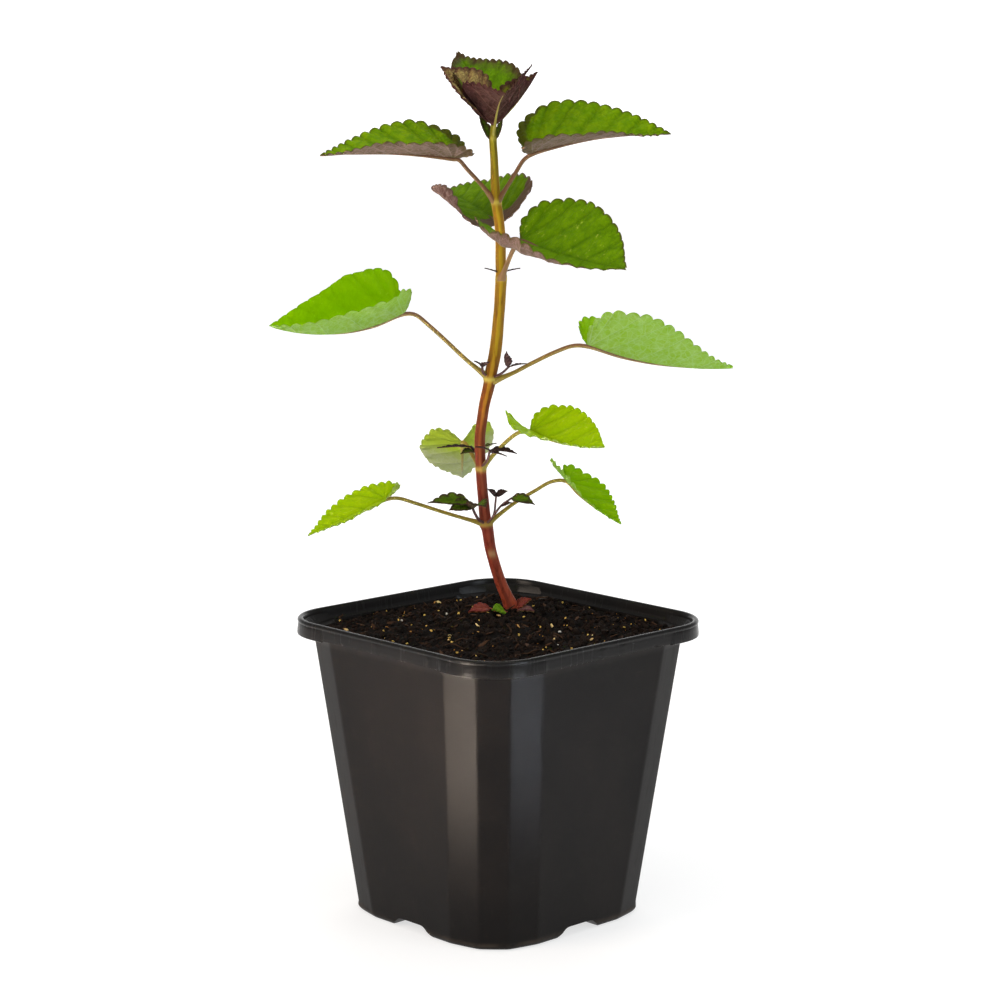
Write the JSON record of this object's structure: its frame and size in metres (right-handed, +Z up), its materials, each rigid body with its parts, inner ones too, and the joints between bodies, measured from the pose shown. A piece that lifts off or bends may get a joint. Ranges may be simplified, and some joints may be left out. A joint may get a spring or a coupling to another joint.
{
  "type": "potted anise hyssop",
  "caption": "Young anise hyssop plant with paired toothed leaves, side shoots and a bent stem, in a square black nursery pot of compost.",
  "frame": {"origin": "middle of the pot's base, on the ground", "axes": "+Z up the plant, X and Y square to the pot's sides"},
  "size_m": [0.1653, 0.1552, 0.353],
  "materials": {
    "pot": "black moulded polypropylene, satin, lightly scuffed",
    "soil": "moist dark compost with fibres and bark",
    "stem": "green-brown at the top, dark red at the foot, waxy",
    "leaf": "veined leaf, bright green above, grey-green below, purple at the margin",
    "young_leaf": "young leaf flushed with purple",
    "shoot": "dark purple and green shoot",
    "foot_growth": "red and green basal growth"
  },
  "bodies": {
    "root": {"foot_leaf_green": "foot_growth", "foot_leaf_pink": "foot_growth", "foot_leaf_purple": "foot_growth", "foot_leaf_red": "foot_growth", "leaf_1_left": "leaf", "leaf_1_right": "leaf", "leaf_2_back": "leaf", "leaf_2_front": "leaf", "leaf_3_left": "leaf", "leaf_3_right": "leaf", "leaf_4_back": "leaf", "leaf_4_front": "leaf", "leaf_5_left": "leaf", "leaf_5_right": "leaf", "leaf_6_back": "young_leaf", "leaf_6_front": "young_leaf", "leaf_7_left": "young_leaf", "leaf_7_right": "young_leaf", "leaf_8": "young_leaf", "main_stem": "stem", "pot": "pot", "shoot_1_left": "shoot", "shoot_1_right": "shoot", "shoot_2_back": "shoot", "shoot_2_front": "shoot", "shoot_3_left": "shoot", "shoot_3_right": "shoot", "shoot_4_left": "shoot", "shoot_4_right": "shoot", "shoot_6_left": "shoot", "shoot_6_right": "shoot", "soil": "soil"}
  },
  "joints": []
}
